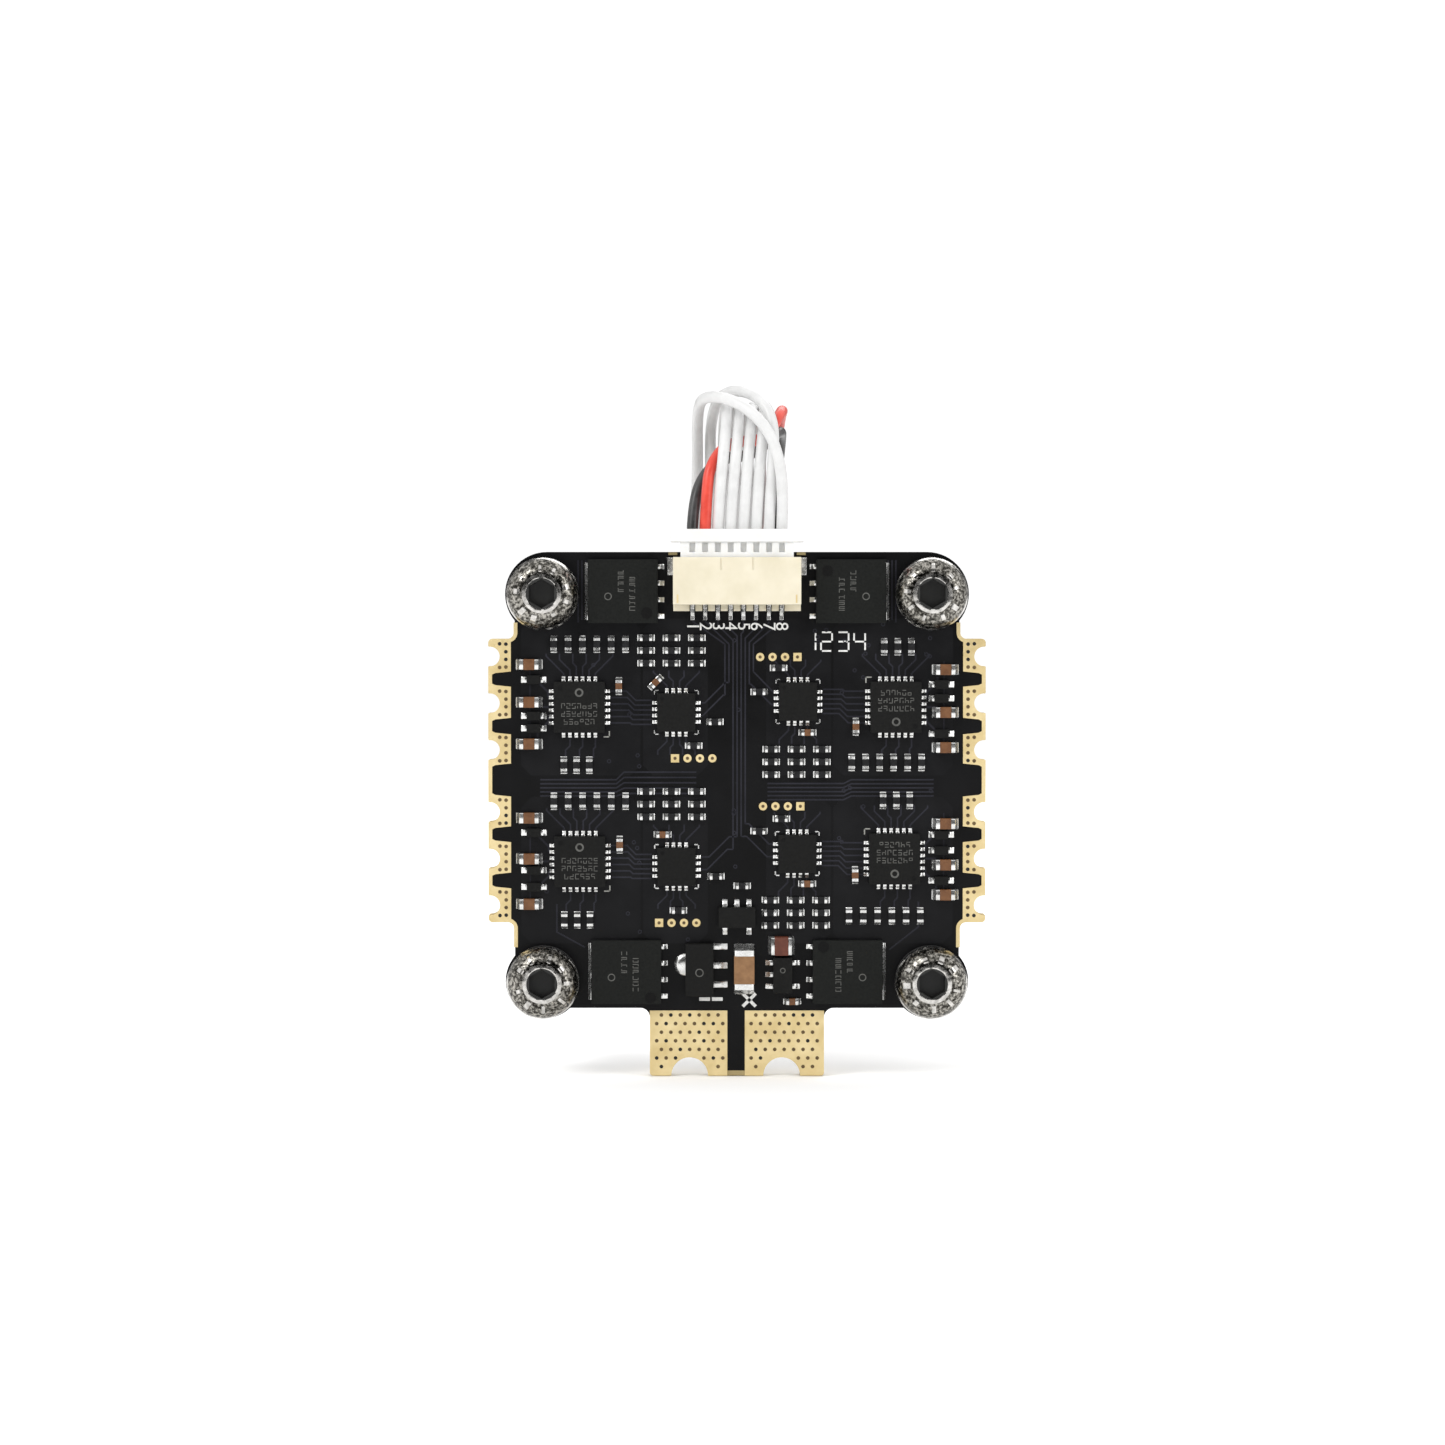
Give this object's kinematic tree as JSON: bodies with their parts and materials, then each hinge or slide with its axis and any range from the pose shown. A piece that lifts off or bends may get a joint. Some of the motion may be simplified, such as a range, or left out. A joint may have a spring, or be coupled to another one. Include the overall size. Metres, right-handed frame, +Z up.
{
  "type": "electronic speed controller",
  "caption": "Square four-motor speed controller board with castellated motor pads, a battery tab, soft-mounted screws and a side-entry signal plug with its loose looped cable.",
  "frame": {"origin": "centre of the 30.5 mm screw square, on the plane of the rear faces of the rubber grommets", "axes": "+X to the right seen from the component side, +Y out of the rear of the board along the screws, +Z up towards the signal plug"},
  "size_m": [0.0392, 0.0162, 0.0546],
  "materials": {
    "solder_mask": "satin black solder mask over glass-fibre board",
    "gold_plating": "immersion gold over copper",
    "black_rubber": "matt moulded rubber",
    "nickel_steel": "bright nickel plate, slightly rough",
    "ivory_nylon": "moulded ivory nylon",
    "white_nylon": "moulded translucent white nylon",
    "tinned_metal": "tin-plated and soldered",
    "black_wire": "silicone insulation",
    "red_wire": "silicone insulation",
    "white_wire": "silicone insulation",
    "black_epoxy": "moulded epoxy",
    "brown_ceramic": "fired ceramic"
  },
  "bodies": {
    "board": {"battery_pad_negative": "gold_plating", "battery_pad_positive": "gold_plating", "board": "solder_mask", "buck_converter": "black_epoxy", "bulk_capacitors": "brown_ceramic", "chip_capacitor_terminals": "tinned_metal", "chip_capacitors": "brown_ceramic", "chip_resistor_terminals": "tinned_metal", "chip_resistors": "black_epoxy", "current_sense_amplifier": "black_epoxy", "diode_terminals": "tinned_metal", "diodes": "black_epoxy", "edge_plating": "gold_plating", "front_mosfet_1": "black_epoxy", "front_mosfet_2": "black_epoxy", "front_mosfet_3": "black_epoxy", "front_mosfet_4": "black_epoxy", "front_mosfet_terminals": "tinned_metal", "gate_driver_1": "black_epoxy", "gate_driver_2": "black_epoxy", "gate_driver_3": "black_epoxy", "gate_driver_4": "black_epoxy", "gate_driver_terminals": "tinned_metal", "grommet_1": "black_rubber", "grommet_2": "black_rubber", "grommet_3": "black_rubber", "grommet_4": "black_rubber", "header_contacts": "tinned_metal", "header_housing": "ivory_nylon", "motor_controller_1": "black_epoxy", "motor_controller_2": "black_epoxy", "motor_controller_3": "black_epoxy", "motor_controller_4": "black_epoxy", "motor_controller_terminals": "tinned_metal", "motor_pads_1": "gold_plating", "motor_pads_2": "gold_plating", "motor_pads_3": "gold_plating", "motor_pads_4": "gold_plating", "rear_mosfet_terminals": "tinned_metal", "rear_mosfets": "black_epoxy", "shunt_resistor": "black_epoxy", "small_chip_leads": "tinned_metal", "test_pads": "gold_plating", "voltage_regulator": "black_epoxy"},
    "signal_cable": {"plug_housing": "white_nylon", "plug_contacts": "tinned_metal", "wire_black": "black_wire", "wire_red": "red_wire", "wire_white_1": "white_wire", "wire_white_2": "white_wire", "wire_white_3": "white_wire", "wire_white_4": "white_wire", "wire_white_5": "white_wire", "wire_white_6": "white_wire", "far_plug_housing": "white_nylon", "far_plug_contacts": "tinned_metal"},
    "screw_1": {"screw_1": "nickel_steel"},
    "screw_2": {"screw_2": "nickel_steel"},
    "screw_3": {"screw_3": "nickel_steel"},
    "screw_4": {"screw_4": "nickel_steel"}
  },
  "joints": [
    {"name": "plug_pull", "type": "slide", "parent": "board", "child": "signal_cable", "axis": [0, 0, 1], "range_m": [0, 0.004]},
    {"name": "screw_1_withdraw", "type": "slide", "parent": "board", "child": "screw_1", "axis": [0, -1, 0], "range_m": [0, 0.0125]},
    {"name": "screw_2_withdraw", "type": "slide", "parent": "board", "child": "screw_2", "axis": [0, -1, 0], "range_m": [0, 0.0125]},
    {"name": "screw_3_withdraw", "type": "slide", "parent": "board", "child": "screw_3", "axis": [0, -1, 0], "range_m": [0, 0.0125]},
    {"name": "screw_4_withdraw", "type": "slide", "parent": "board", "child": "screw_4", "axis": [0, -1, 0], "range_m": [0, 0.0125]}
  ]
}
